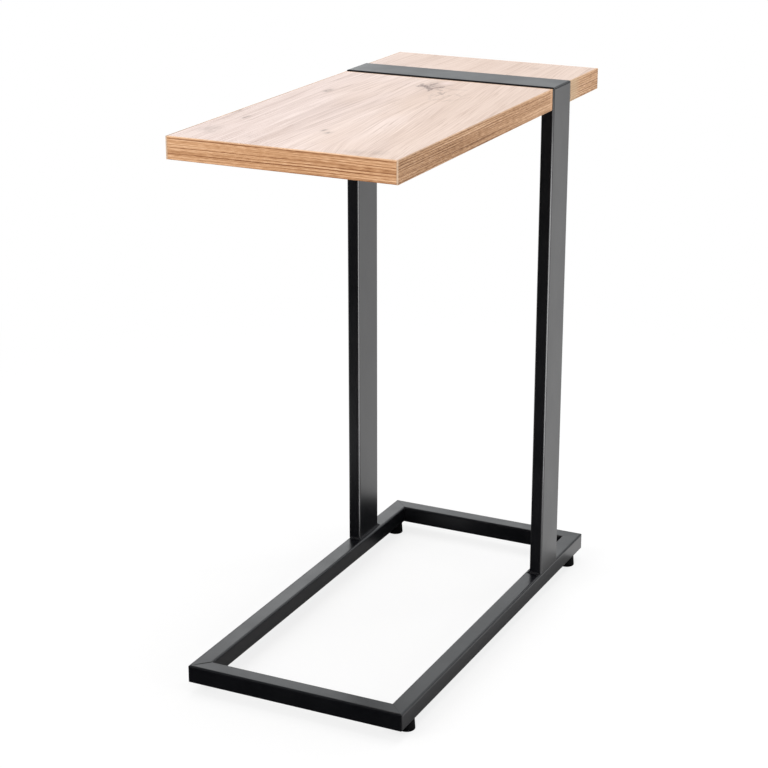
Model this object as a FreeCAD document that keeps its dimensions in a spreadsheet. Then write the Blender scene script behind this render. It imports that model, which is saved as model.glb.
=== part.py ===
import FreeCAD, Part
import os
import Sketcher

# C-shaped side table: a floor ring of square tube, two flat uprights near its rear end and a cross
# tube that joins them at the top and stands a little proud between a large and a small board.
# X runs across the table, Y from its front edge to its rear edge, Z up from the floor.
# The origin is on the floor, under the middle of the boards.  Millimetres throughout.

SIZES = {
    # boards
    "table_height": 606.0,
    "board_width": 250.0,
    "front_panel_depth": 387.0,
    "rear_panel_depth": 87.0,
    "core_thickness": 22.0,
    "skin_thickness": 0.6,
    "band_thickness": 2.0,
    "band_rounding": 0.8,
    "strap_gap": 2.0,
    "strap_proud": 1.2,
    # welded frame
    "side_proud": 1.0,
    "upright_depth": 50.0,
    "upright_thickness": 15.0,
    "upright_wall": 1.5,
    "upright_corner": 2.2,
    "ground_corner": 2.5,
    "weld_leg": 2.0,
    "weld_toe": 0.2,
    # floor ring
    "ring_length": 517.0,
    "ring_setback": 8.3,
    "ring_tube": 20.0,
    "ring_wall": 1.5,
    "ring_corner": 2.5,
    # joggled bars under the boards
    "carrier_width": 30.0,
    "carrier_thickness": 4.0,
    "carrier_spacing": 120.0,
    "carrier_front_reach": 300.0,
    "carrier_rear_reach": 66.0,
    "carrier_nose_chamfer": 5.0,
    "joggle_clearance": 2.0,
    "joggle_run": 8.0,
    "joggle_bend": 3.0,
    # wood screws
    "screw_diameter": 4.0,
    "screw_length": 20.0,
    "screw_head_diameter": 8.0,
    "screw_head_height": 2.6,
    "screw_clearance": 0.05,
    "screw_slot_margin": 30.0,
    "screw_nose_margin": 26.0,
    # feet and their inserts
    "foot_height": 13.0,
    "foot_diameter": 18.4,
    "foot_seat_gap": 0.1,
    "foot_inset_front": 33.0,
    "foot_inset_rear": 25.5,
    "stud_diameter": 6.0,
    "stud_reach": 15.0,
    "stud_floor": 4.0,
    "stud_clearance": 0.05,
    "insert_sleeve": 8.9,
    "insert_hole_clearance": 0.05,
    "insert_length": 12.0,
}

SIDES = {"left": -1, "right": 1}
ENDS = {"front": -1, "rear": 1}

doc = FreeCAD.newDocument("side_table")
sheet = doc.addObject("Spreadsheet::Sheet", "Sizes")
for row, (alias, value) in enumerate(SIZES.items(), start=1):
    sheet.set(f"A{row}", alias)
    sheet.set(f"B{row}", str(value))
    sheet.setAlias(f"B{row}", alias)
doc.recompute()

# Expressions that several pieces share.
FRAME_WIDTH = "(Sizes.board_width + 2 * Sizes.side_proud)"
BOARD = "(Sizes.core_thickness + 2 * Sizes.skin_thickness)"
SLOT = "(Sizes.upright_depth + 2 * Sizes.strap_gap)"
DEPTH = f"(Sizes.front_panel_depth + {SLOT} + Sizes.rear_panel_depth)"
FRONT_Y = f"(-{DEPTH} / 2)"
SLOT_FRONT_Y = f"({FRONT_Y} + Sizes.front_panel_depth)"
SLOT_REAR_Y = f"({SLOT_FRONT_Y} + {SLOT})"
UPRIGHT_Y = f"({SLOT_FRONT_Y} + {SLOT} / 2)"
BOARD_TOP_Z = "Sizes.table_height"
BOARD_BOTTOM_Z = f"(Sizes.table_height - {BOARD})"
FRAME_TOP_Z = "(Sizes.table_height + Sizes.strap_proud)"
RING_TOP_Z = "(Sizes.foot_height + Sizes.ring_tube)"
RING_FRONT_Y = f"({FRONT_Y} + Sizes.ring_setback)"
RING_MIDDLE_Y = f"({RING_FRONT_Y} + Sizes.ring_length / 2)"
RING_SIDE_X = f"({FRAME_WIDTH} / 2 - Sizes.ring_tube / 2)"
UPRIGHT_X = f"({FRAME_WIDTH} / 2 - Sizes.upright_thickness / 2)"
CARRIER_X = "(Sizes.carrier_spacing / 2)"
SCREW_HOLE = "(Sizes.screw_diameter + 2 * Sizes.screw_clearance)"
INSERT_HOLE = "(Sizes.insert_sleeve + 2 * Sizes.insert_hole_clearance)"
INSERT_BORE = "(Sizes.stud_diameter + 2 * Sizes.stud_clearance)"

nodes = []


def number(expression):
    """The present value of an expression on the sheet."""
    value = sheet.evalExpression(expression)
    return getattr(value, "Value", value)


def new_body(name, place=("0", "0", "0"), turn=0):
    """A body that is one node, turned about Z and placed by three expressions."""
    body = doc.addObject("PartDesign::Body", name)
    body.Label = name
    body.Placement.Rotation = FreeCAD.Rotation(FreeCAD.Vector(0, 0, 1), turn)
    for axis, expression in zip("xyz", place):
        body.setExpression(f"Placement.Base.{axis}", expression)
    nodes.append(body)
    return body


def new_sketch(body, plane, name):
    """A sketch on one of the body's own origin planes."""
    sketch = body.newObject("Sketcher::SketchObject", name)
    datum = next(item for item in body.Origin.OriginFeatures if item.Role == f"{plane}_Plane")
    sketch.AttachmentSupport = [(datum, "")]
    sketch.MapMode = "FlatFace"
    return sketch


def bind(sketch, kind, place, expression):
    """A dimension of the sketch that follows an expression."""
    index = sketch.addConstraint(Sketcher.Constraint(kind, *place, number(expression)))
    sketch.setExpression(f"Constraints[{index}]", expression)


def pin_point(sketch, geometry, vertex, x, y):
    """Holds a vertex at two expressions, measured from the sketch's origin."""
    bind(sketch, "DistanceX", (-1, 1, geometry, vertex), x)
    bind(sketch, "DistanceY", (-1, 1, geometry, vertex), y)


def draw_polygon(sketch, corners):
    """A closed outline of straight lines through corners given as pairs of expressions."""
    points = [FreeCAD.Vector(number(x), number(y), 0) for x, y in corners]
    lines = []
    for start, end in zip(points, points[1:] + points[:1]):
        lines.append(sketch.addGeometry(Part.LineSegment(start, end), False))
    for line, following in zip(lines, lines[1:] + lines[:1]):
        sketch.addConstraint(Sketcher.Constraint("Coincident", line, 2, following, 1))
    for line, (x, y) in zip(lines, corners):
        pin_point(sketch, line, 1, x, y)


def draw_circle(sketch, x, y, diameter):
    """A circle whose centre and diameter are expressions."""
    centre = FreeCAD.Vector(number(x), number(y), 0)
    circle = Part.Circle(centre, FreeCAD.Vector(0, 0, 1), number(diameter) / 2)
    index = sketch.addGeometry(circle, False)
    pin_point(sketch, index, 3, x, y)
    bind(sketch, "Diameter", (index,), diameter)


def draw_rounded_rectangle(sketch, width, height, radius):
    """A rectangle about the sketch's origin with four round corners."""
    half_width, half_height, corner = number(width) / 2, number(height) / 2, number(radius)
    quarters = ((1, 1, 0), (-1, 1, 1), (-1, -1, 2), (1, -1, 3))
    arcs = []
    for side_x, side_y, quarter in quarters:
        centre = FreeCAD.Vector(side_x * (half_width - corner), side_y * (half_height - corner), 0)
        circle = Part.Circle(centre, FreeCAD.Vector(0, 0, 1), corner)
        start = FreeCAD.Units.Quantity(90 * quarter, FreeCAD.Units.Angle).getValueAs("rad").Value
        sweep = FreeCAD.Units.Quantity(90, FreeCAD.Units.Angle).getValueAs("rad").Value
        arcs.append(sketch.addGeometry(Part.ArcOfCircle(circle, start, start + sweep), False))
    for arc, following in zip(arcs, arcs[1:] + arcs[:1]):
        start = sketch.getPoint(arc, 2)
        end = sketch.getPoint(following, 1)
        line = sketch.addGeometry(Part.LineSegment(start, end), False)
        sketch.addConstraint(Sketcher.Constraint("Tangent", arc, 2, line, 1))
        sketch.addConstraint(Sketcher.Constraint("Tangent", line, 2, following, 1))
    for arc, (side_x, side_y, _) in zip(arcs, quarters):
        x = f"{side_x} * ({width} / 2 - {radius})"
        y = f"{side_y} * ({height} / 2 - {radius})"
        pin_point(sketch, arc, 3, x, y)
    bind(sketch, "Radius", (arcs[0],), radius)


def draw_corner_waste(sketch, corner_x, corner_y, side_x, side_y, radius):
    """What grinding a sharp corner round takes away, between two edges and a quarter arc."""
    x, y, size = number(corner_x), number(corner_y), number(radius)
    corner = FreeCAD.Vector(x, y, 0)
    on_x = FreeCAD.Vector(x - side_x * size, y, 0)
    on_y = FreeCAD.Vector(x, y - side_y * size, 0)
    centre = FreeCAD.Vector(x - side_x * size, y - side_y * size, 0)
    middle = centre + FreeCAD.Vector(side_x, side_y, 0).normalize() * size
    arc = sketch.addGeometry(Part.Arc(on_x, middle, on_y), False)
    starts_on_x = sketch.getPoint(arc, 1).distanceToPoint(on_x) < size / 2
    x_end, y_end = (1, 2) if starts_on_x else (2, 1)
    along_x = sketch.addGeometry(Part.LineSegment(corner, on_x), False)
    along_y = sketch.addGeometry(Part.LineSegment(corner, on_y), False)
    sketch.addConstraint(Sketcher.Constraint("Coincident", along_x, 1, along_y, 1))
    sketch.addConstraint(Sketcher.Constraint("Coincident", along_x, 2, arc, x_end))
    sketch.addConstraint(Sketcher.Constraint("Coincident", along_y, 2, arc, y_end))
    pin_point(sketch, along_x, 1, corner_x, corner_y)
    pin_point(sketch, along_x, 2, f"{corner_x} - {side_x} * {radius}", corner_y)
    pin_point(sketch, along_y, 2, corner_x, f"{corner_y} - {side_y} * {radius}")
    bind(sketch, "Radius", (arc,), radius)


def pad(body, sketch, length, both_ways=False):
    """Raises a sketch by an expression, on one side or half on each side."""
    feature = body.newObject("PartDesign::Pad", f"{sketch.Name}_pad")
    feature.Profile = sketch
    feature.setExpression("Length", length)
    feature.Midplane = both_ways
    return feature


def cut_through(body, sketch, both_ways=True, reverse=False):
    """Cuts a sketch right through the body."""
    feature = body.newObject("PartDesign::Pocket", f"{sketch.Name}_cut")
    feature.Profile = sketch
    feature.Type = "ThroughAll"
    feature.Midplane = both_ways
    feature.Reversed = reverse
    return feature


def revolve(body, sketch):
    """Turns a half profile on the XZ plane about Z."""
    feature = body.newObject("PartDesign::Revolution", f"{sketch.Name}_turn")
    feature.Profile = sketch
    feature.ReferenceAxis = (sketch, ["V_Axis"])
    feature.Angle = 360
    return feature


def soften_edges(body, kind, size, chosen):
    """Rounds or chamfers the edges of the body's present shape that a test picks."""
    doc.recompute()
    base = body.Tip
    names = [f"Edge{index}" for index, edge in enumerate(base.Shape.Edges, start=1) if chosen(edge)]
    feature = body.newObject(kind, f"{body.Name}_edges_{len(body.Group)}")
    feature.Base = (base, names)
    feature.setExpression("Radius" if kind.endswith("Fillet") else "Size", size)
    return feature


def round_edges(body, radius, chosen):
    """Rounds the edges that a test picks."""
    return soften_edges(body, "PartDesign::Fillet", radius, chosen)


def repeat(body, feature, steps):
    """Repeats a feature along X and Y; steps are (axis, distance to the last copy, copies)."""
    body.AllowCompound = True
    patterns = []
    for axis, length, copies in steps:
        line = next(item for item in body.Origin.OriginFeatures if item.Role == f"{axis}_Axis")
        pattern = body.newObject("PartDesign::LinearPattern", f"{body.Name}_along_{axis}")
        pattern.Direction = (line, [""])
        pattern.setExpression("Length", length)
        pattern.Occurrences = copies
        patterns.append(pattern)
    grid = body.newObject("PartDesign::MultiTransform", f"{body.Name}_grid")
    grid.Originals = [feature]
    grid.Transformations = patterns
    body.Tip = grid


def tube_profile(body, plane, width, height, radius, wall):
    """The outline and the hollow of a drawn rectangular tube."""
    profile = new_sketch(body, plane, f"{body.Name}_section")
    draw_rounded_rectangle(profile, width, height, radius)
    draw_rounded_rectangle(profile, f"({width} - 2 * {wall})", f"({height} - 2 * {wall})",
                           f"({radius} - {wall})")
    return profile


def mitre_corners(end_x, outer_y, side_x, side_y, size):
    """The wedge beyond a 45 degree mitre that starts at the outer corner of a tube's end."""
    beyond_x = f"({end_x} + {side_x} * {size})"
    beyond_y = f"({outer_y} - {side_y} * 2 * {size})"
    return [
        (f"({end_x} + {side_x} * {size})", f"({outer_y} + {side_y} * {size})"),
        (f"({end_x} - {side_x} * 2 * {size})", beyond_y),
        (beyond_x, beyond_y),
    ]


# ---------------------------------------------------------------- floor ring

def ring_tube(name, length, place, turn):
    """One side of the ring: along its own X, outer face to its own -Y, mitred at both ends."""
    body = new_body(name, place, turn)
    section = tube_profile(body, "YZ", "Sizes.ring_tube", "Sizes.ring_tube",
                           "Sizes.ring_corner", "Sizes.ring_wall")
    pad(body, section, length, both_ways=True)
    mitres = new_sketch(body, "XY", f"{name}_mitres")
    grinding = new_sketch(body, "XY", f"{name}_grinding")
    for side in SIDES.values():
        end_x = f"({side} * {length} / 2)"
        outer_y = "(-Sizes.ring_tube / 2)"
        draw_polygon(mitres, mitre_corners(end_x, outer_y, side, -1, "Sizes.ring_tube"))
        draw_corner_waste(grinding, end_x, outer_y, side, -1, "Sizes.ground_corner")
    cut_through(body, mitres)
    cut_through(body, grinding)
    return body


def foot_hole_x(end, turn_sign):
    """Place of an insert hole along a side tube's own X."""
    inset = "Sizes.foot_inset_front" if end == "front" else "Sizes.foot_inset_rear"
    return f"({turn_sign * ENDS[end]} * (Sizes.ring_length / 2 - {inset}))"


def make_ring():
    """Four mitred tubes; the two side tubes are drilled from below for the foot inserts."""
    middle_z = "(Sizes.foot_height + Sizes.ring_tube / 2)"
    front_y = f"({RING_FRONT_Y} + Sizes.ring_tube / 2)"
    rear_y = f"({RING_FRONT_Y} + Sizes.ring_length - Sizes.ring_tube / 2)"
    ring_tube("base_front_tube", FRAME_WIDTH, ("0", front_y, middle_z), 0)
    ring_tube("base_rear_tube", FRAME_WIDTH, ("0", rear_y, middle_z), 180)
    for side, sign in SIDES.items():
        place = (f"({sign} * {RING_SIDE_X})", RING_MIDDLE_Y, middle_z)
        body = ring_tube(f"base_{side}_tube", "Sizes.ring_length", place, sign * 90)
        holes = new_sketch(body, "XY", f"{body.Name}_insert_holes")
        for end in ENDS:
            draw_circle(holes, foot_hole_x(end, sign), "0", INSERT_HOLE)
        cut_through(body, holes, both_ways=False)


# ---------------------------------------------------------------- uprights and cross tube

def make_upright(side, sign):
    """A flat tube standing on the ring, mitred at the top; its own +X is the outer side."""
    height = f"({FRAME_TOP_Z} - {RING_TOP_Z})"
    place = (f"({sign} * {UPRIGHT_X})", UPRIGHT_Y, RING_TOP_Z)
    body = new_body(f"upright_{side}", place, 0 if sign > 0 else 180)
    section = tube_profile(body, "XY", "Sizes.upright_thickness", "Sizes.upright_depth",
                           "Sizes.upright_corner", "Sizes.upright_wall")
    pad(body, section, height)
    outer_x = "(Sizes.upright_thickness / 2)"
    mitre = new_sketch(body, "XZ", f"{body.Name}_mitre")
    size = "Sizes.upright_thickness"
    draw_polygon(mitre, [
        (f"({outer_x} + {size})", f"({height} + {size})"),
        (f"({outer_x} - 2 * {size})", f"({height} - 2 * {size})"),
        (f"({outer_x} - 2 * {size})", f"({height} + {size})"),
    ])
    cut_through(body, mitre)
    grinding = new_sketch(body, "XZ", f"{body.Name}_grinding")
    draw_corner_waste(grinding, outer_x, height, 1, 1, "Sizes.ground_corner")
    cut_through(body, grinding)


def make_cross_tube():
    """The same flat tube lying between the boards, mitred to both uprights."""
    middle_z = f"({FRAME_TOP_Z} - Sizes.upright_thickness / 2)"
    body = new_body("cross_tube", ("0", UPRIGHT_Y, middle_z))
    section = tube_profile(body, "YZ", "Sizes.upright_depth", "Sizes.upright_thickness",
                           "Sizes.upright_corner", "Sizes.upright_wall")
    pad(body, section, FRAME_WIDTH, both_ways=True)
    mitres = new_sketch(body, "XZ", "cross_tube_mitres")
    grinding = new_sketch(body, "XZ", "cross_tube_grinding")
    top_z = "(Sizes.upright_thickness / 2)"
    for side in SIDES.values():
        end_x = f"({side} * {FRAME_WIDTH} / 2)"
        draw_polygon(mitres, mitre_corners(end_x, top_z, side, 1, "Sizes.upright_thickness"))
        draw_corner_waste(grinding, end_x, top_z, side, 1, "Sizes.ground_corner")
    cut_through(body, mitres)
    cut_through(body, grinding)


def make_weld(side, sign):
    """Fillet weld round the front, inner and rear faces of an upright's foot."""
    place = (f"({sign} * {UPRIGHT_X})", UPRIGHT_Y, RING_TOP_Z)
    body = new_body(f"weld_{side}", place, 0 if sign > 0 else 180)
    outline = new_sketch(body, "XY", f"{body.Name}_outline")
    half_x = "(Sizes.upright_thickness / 2 + Sizes.weld_leg)"
    half_y = "(Sizes.upright_depth / 2 + Sizes.weld_leg)"
    draw_polygon(outline, [(f"-{half_x}", f"-{half_y}"), (half_x, f"-{half_y}"),
                           (half_x, half_y), (f"-{half_x}", half_y)])
    pad(body, outline, "Sizes.weld_leg")
    soften_edges(body, "PartDesign::Chamfer", "(Sizes.weld_leg - Sizes.weld_toe)",
                 lambda edge: all(point.Z > number("Sizes.weld_leg / 2") for point in edge.Vertexes))
    hollow = new_sketch(body, "XY", f"{body.Name}_hollow")
    draw_rounded_rectangle(hollow, "Sizes.upright_thickness", "Sizes.upright_depth",
                           "Sizes.upright_corner")
    cut_through(body, hollow)
    outer = new_sketch(body, "XY", f"{body.Name}_outer_side")
    edge_x = "(Sizes.upright_thickness / 2 - Sizes.ring_corner)"
    reach_x = "(Sizes.upright_thickness / 2 + 2 * Sizes.weld_leg)"
    reach_y = "(Sizes.upright_depth / 2 + 2 * Sizes.weld_leg)"
    draw_polygon(outer, [(edge_x, f"-{reach_y}"), (reach_x, f"-{reach_y}"),
                         (reach_x, reach_y), (edge_x, reach_y)])
    cut_through(body, outer)


# ---------------------------------------------------------------- boards

# Distances of the screws from the slot edge of each board.
FOREMOST_SCREW = "(Sizes.carrier_front_reach - Sizes.screw_nose_margin)"
FRONT_SCREWS = ["Sizes.screw_slot_margin", FOREMOST_SCREW]
REAR_SCREWS = ["(Sizes.carrier_rear_reach - Sizes.screw_nose_margin)"]

PANELS = {
    "front_panel": {
        "depth": "Sizes.front_panel_depth",
        "middle_y": f"({FRONT_Y} + Sizes.front_panel_depth / 2)",
        "screws_y": [f"(Sizes.front_panel_depth / 2 - {place})" for place in FRONT_SCREWS],
    },
    "rear_panel": {
        "depth": "Sizes.rear_panel_depth",
        "middle_y": f"({SLOT_REAR_Y} + Sizes.rear_panel_depth / 2)",
        "screws_y": [f"({place} - Sizes.rear_panel_depth / 2)" for place in REAR_SCREWS],
    },
}


def draw_block(sketch, half_x, half_y):
    """A rectangle about the sketch's origin."""
    draw_polygon(sketch, [(f"-{half_x}", f"-{half_y}"), (half_x, f"-{half_y}"),
                          (half_x, half_y), (f"-{half_x}", half_y)])


def make_layer(name, panel, bottom_z, thickness):
    """One layer of a board inside its edge bands."""
    body = new_body(name, ("0", panel["middle_y"], bottom_z))
    outline = new_sketch(body, "XY", f"{name}_outline")
    half_x = "(Sizes.board_width / 2 - Sizes.band_thickness)"
    half_y = f"({panel['depth']} / 2 - Sizes.band_thickness)"
    draw_block(outline, half_x, half_y)
    pad(body, outline, thickness)
    return body


def drill_layer(body, panel, depth):
    """Screw holes drilled up into a layer from its lower face."""
    holes = new_sketch(body, "XY", f"{body.Name}_screw_holes")
    for place in panel["screws_y"]:
        for sign in SIDES.values():
            draw_circle(holes, f"({sign} * {CARRIER_X})", place, SCREW_HOLE)
    drilling = body.newObject("PartDesign::Pocket", f"{body.Name}_drilling")
    drilling.Profile = holes
    drilling.Reversed = True
    drilling.setExpression("Length", depth)


def make_band(name, panel, offset, width, depth):
    """An edge band as high as the board, with its long outer arrises rounded."""
    x, y = offset
    body = new_body(name, (x, f"({panel['middle_y']} + {y})", BOARD_BOTTOM_Z))
    outline = new_sketch(body, "XY", f"{name}_outline")
    draw_block(outline, f"({width} / 2)", f"({depth} / 2)")
    pad(body, outline, BOARD)
    return body


def lies_outside(edge, outward, reach):
    """True for an edge that lies all in the outer face of a band."""
    return all(abs(point.Point.dot(outward) - reach) < 1e-4 for point in edge.Vertexes)


def make_panel(name, panel):
    """A particle-board core, a decorative skin above, a balancing skin below and four bands."""
    skin_z = f"({BOARD_BOTTOM_Z} + Sizes.skin_thickness)"
    into_core = "(Sizes.screw_length - Sizes.carrier_thickness - Sizes.skin_thickness)"
    skin = make_layer(f"{name}_bottom_skin", panel, BOARD_BOTTOM_Z, "Sizes.skin_thickness")
    drill_layer(skin, panel, "(2 * Sizes.skin_thickness)")
    core = make_layer(f"{name}_core", panel, skin_z, "Sizes.core_thickness")
    drill_layer(core, panel, into_core)
    top_z = f"({skin_z} + Sizes.core_thickness)"
    make_layer(f"{name}_top_skin", panel, top_z, "Sizes.skin_thickness")
    side_x = "(Sizes.board_width / 2 - Sizes.band_thickness / 2)"
    end_y = f"({panel['depth']} / 2 - Sizes.band_thickness / 2)"
    between = "(Sizes.board_width - 2 * Sizes.band_thickness)"
    for side, sign in SIDES.items():
        band = make_band(f"{name}_band_{side}", panel, (f"({sign} * {side_x})", "0"),
                         "Sizes.band_thickness", panel["depth"])
        outward = FreeCAD.Vector(sign, 0, 0)
        round_edges(band, "Sizes.band_rounding",
                    lambda edge, way=outward: lies_outside(edge, way, number("Sizes.band_thickness / 2")))
    for end, sign in ENDS.items():
        band = make_band(f"{name}_band_{end}", panel, ("0", f"({sign} * {end_y})"),
                         between, "Sizes.band_thickness")
        outward = FreeCAD.Vector(0, sign, 0)
        round_edges(band, "Sizes.band_rounding",
                    lambda edge, way=outward: lies_outside(edge, way, number("Sizes.band_thickness / 2"))
                    and abs(edge.Vertexes[0].Z - edge.Vertexes[-1].Z) < 1e-4)


# ---------------------------------------------------------------- joggled bars and screws

def make_carrier(side, sign):
    """A flat bar under both boards, joggled up between them to the underside of the cross tube."""
    body = new_body(f"carrier_{side}", (f"({sign} * {CARRIER_X})", UPRIGHT_Y, BOARD_BOTTOM_Z))
    rise = f"({BOARD} + Sizes.strap_proud - Sizes.upright_thickness)"
    gauge = "Sizes.carrier_thickness"
    front = f"(-{SLOT} / 2 - Sizes.carrier_front_reach)"
    rear = f"({SLOT} / 2 + Sizes.carrier_rear_reach)"
    foot_y = f"({SLOT} / 2 - Sizes.joggle_clearance)"
    crown_y = f"({foot_y} - Sizes.joggle_run)"
    # A slanted run of the bar keeps its gauge, so its lower face is shifted along Y.
    shift = f"({gauge} * (sqrt({rise} ^ 2 + Sizes.joggle_run ^ 2) - Sizes.joggle_run) / {rise})"
    top = [(front, "0"), (f"-{foot_y}", "0"), (f"-{crown_y}", rise),
           (crown_y, rise), (foot_y, "0"), (rear, "0")]
    below = [(rear, f"-{gauge}"), (f"({foot_y} - {shift})", f"-{gauge}"),
             (f"({crown_y} - {shift})", f"({rise} - {gauge})"),
             (f"-({crown_y} - {shift})", f"({rise} - {gauge})"),
             (f"-({foot_y} - {shift})", f"-{gauge}"), (front, f"-{gauge}")]
    profile = new_sketch(body, "YZ", f"{body.Name}_profile")
    draw_polygon(profile, top + below)
    pad(body, profile, "Sizes.carrier_width", both_ways=True)
    inside = [below[1], below[2], below[3], below[4]]
    corners = [(number(y), number(z)) for y, z in top[1:5]]
    inner_corners = [(number(y), number(z)) for y, z in inside]

    def at(edge, places):
        start, end = edge.Vertexes[0].Point, edge.Vertexes[-1].Point
        along_x = abs(start.y - end.y) < 1e-4 and abs(start.z - end.z) < 1e-4
        return along_x and any(abs(start.y - y) + abs(start.z - z) < 1e-3 for y, z in places)

    hollow_bends = [corners[0], corners[3], inner_corners[1], inner_corners[2]]
    round_bends = [corners[1], corners[2], inner_corners[0], inner_corners[3]]
    round_edges(body, "Sizes.joggle_bend", lambda edge: at(edge, hollow_bends))
    doc.recompute()
    outer = "(Sizes.joggle_bend + Sizes.carrier_thickness)"
    round_edges(body, outer, lambda edge: at(edge, round_bends))
    ends = (number(front), number(rear))
    soften_edges(body, "PartDesign::Chamfer", "Sizes.carrier_nose_chamfer",
                 lambda edge: edge.Length < number(gauge) + 0.01
                 and abs(edge.Vertexes[0].X - edge.Vertexes[-1].X) < 1e-4
                 and any(abs(edge.Vertexes[0].Y - end) < 1e-3 for end in ends))
    holes = new_sketch(body, "XY", f"{body.Name}_screw_holes")
    for place in FRONT_SCREWS:
        draw_circle(holes, "0", f"(-{SLOT} / 2 - {place})", SCREW_HOLE)
    for place in REAR_SCREWS:
        draw_circle(holes, "0", f"({SLOT} / 2 + {place})", SCREW_HOLE)
    cut_through(body, holes)


def make_screws(name, first_y, pitch):
    """Pan-head wood screws driven up through both bars, in one row or in two rows a pitch apart."""
    head_z = f"({BOARD_BOTTOM_Z} - Sizes.carrier_thickness)"
    body = new_body(name, (f"(-{CARRIER_X})", first_y, head_z))
    profile = new_sketch(body, "XZ", f"{name}_profile")
    shank = "(Sizes.screw_diameter / 2)"
    head = "(Sizes.screw_head_diameter / 2)"
    draw_polygon(profile, [
        ("0", "-Sizes.screw_head_height"),
        (head, "-Sizes.screw_head_height"),
        (head, "0"),
        (shank, "0"),
        (shank, "Sizes.screw_length"),
        ("0", "Sizes.screw_length"),
    ])
    screw = revolve(body, profile)
    steps = [("X", "Sizes.carrier_spacing", 2)]
    if pitch:
        steps.append(("Y", pitch, 2))
    repeat(body, screw, steps)


# ---------------------------------------------------------------- feet

def foot_place(side, end):
    """Middle of a foot under the centre line of a side tube."""
    x = f"({SIDES[side]} * {RING_SIDE_X})"
    if end == "front":
        return x, f"({RING_FRONT_Y} + Sizes.foot_inset_front)"
    return x, f"({RING_FRONT_Y} + Sizes.ring_length - Sizes.foot_inset_rear)"


def make_inserts():
    """Four threaded sleeves in the lower walls of the side tubes."""
    x, y = foot_place("left", "front")
    body = new_body("foot_inserts", (x, y, "Sizes.foot_height"))
    profile = new_sketch(body, "XZ", "foot_insert_profile")
    bore = f"({INSERT_BORE} / 2)"
    sleeve = "(Sizes.insert_sleeve / 2)"
    draw_polygon(profile, [
        (bore, "0"),
        (sleeve, "0"),
        (sleeve, "Sizes.insert_length"),
        (bore, "Sizes.insert_length"),
    ])
    insert = revolve(body, profile)
    rows = "(Sizes.ring_length - Sizes.foot_inset_front - Sizes.foot_inset_rear)"
    repeat(body, insert, [("X", f"(2 * {RING_SIDE_X})", 2), ("Y", rows, 2)])


def make_foot(side, end):
    """A round moulded glide and the steel stud that is moulded into it."""
    x, y = foot_place(side, end)
    height = "(Sizes.foot_height - Sizes.foot_seat_gap)"
    stud = "(Sizes.stud_diameter / 2)"
    rim = "(Sizes.foot_diameter / 2)"
    glide = new_body(f"foot_{end}_{side}", (x, y, "0"))
    profile = new_sketch(glide, "XZ", f"{glide.Name}_profile")
    draw_polygon(profile, [
        ("0", "0"),
        (rim, "0"),
        (rim, height),
        (stud, height),
        (stud, "Sizes.stud_floor"),
        ("0", "Sizes.stud_floor"),
    ])
    revolve(glide, profile)

    pin = new_body(f"foot_stud_{end}_{side}", (x, y, "0"))
    profile = new_sketch(pin, "XZ", f"{pin.Name}_profile")
    tip = "(Sizes.foot_height + Sizes.stud_reach)"
    draw_polygon(profile, [("0", "Sizes.stud_floor"), (stud, "Sizes.stud_floor"), (stud, tip), ("0", tip)])
    revolve(pin, profile)


make_ring()
for side, sign in SIDES.items():
    make_upright(side, sign)
make_cross_tube()
for side, sign in SIDES.items():
    make_weld(side, sign)
for name, panel in PANELS.items():
    make_panel(name, panel)
for side, sign in SIDES.items():
    make_carrier(side, sign)
foremost_row = f"({SLOT_FRONT_Y} - {FOREMOST_SCREW})"
make_screws("front_panel_screws", foremost_row, f"({FOREMOST_SCREW} - Sizes.screw_slot_margin)")
rear_row = f"({SLOT_REAR_Y} + {REAR_SCREWS[0]})"
make_screws("rear_panel_screws", rear_row, None)
make_inserts()
for end in ENDS:
    for side in SIDES:
        make_foot(side, end)

doc.recompute()

failed = [item.Name for item in doc.Objects if {"Invalid", "Error"} & set(item.State)]
failed += [body.Name for body in nodes if body.Shape.isNull() or not body.Shape.isValid()]
if failed:
    raise RuntimeError(f"these objects failed: {sorted(set(failed))}")

os.makedirs("parts", exist_ok=True)
for body in nodes:
    body.Shape.exportStep(f"parts/{body.Label}.step")
    box = body.Shape.BoundBox
    print(f"{body.Label}: {len(body.Shape.Solids)} solid(s), {body.Shape.Volume:.1f} mm3,"
          f" x {box.XMin:.2f}..{box.XMax:.2f}, y {box.YMin:.2f}..{box.YMax:.2f},"
          f" z {box.ZMin:.2f}..{box.ZMax:.2f}")
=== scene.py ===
import math

import bpy
from mathutils import Euler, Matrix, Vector


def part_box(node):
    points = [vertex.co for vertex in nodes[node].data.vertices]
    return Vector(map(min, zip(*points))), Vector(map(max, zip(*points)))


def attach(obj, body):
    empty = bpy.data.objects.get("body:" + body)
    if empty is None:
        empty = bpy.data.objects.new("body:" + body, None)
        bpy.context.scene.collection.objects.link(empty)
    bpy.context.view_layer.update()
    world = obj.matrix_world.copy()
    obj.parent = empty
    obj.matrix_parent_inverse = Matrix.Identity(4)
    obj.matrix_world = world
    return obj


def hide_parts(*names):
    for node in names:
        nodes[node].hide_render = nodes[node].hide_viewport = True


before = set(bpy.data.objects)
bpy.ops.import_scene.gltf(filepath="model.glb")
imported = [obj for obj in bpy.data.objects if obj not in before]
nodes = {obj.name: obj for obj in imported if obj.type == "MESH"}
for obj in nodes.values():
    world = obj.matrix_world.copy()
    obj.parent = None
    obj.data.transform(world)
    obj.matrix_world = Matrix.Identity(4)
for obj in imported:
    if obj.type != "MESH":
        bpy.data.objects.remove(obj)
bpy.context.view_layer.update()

scene = bpy.context.scene

# ---------------------------------------------------------------- sizes in metres, read from the solids

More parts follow.
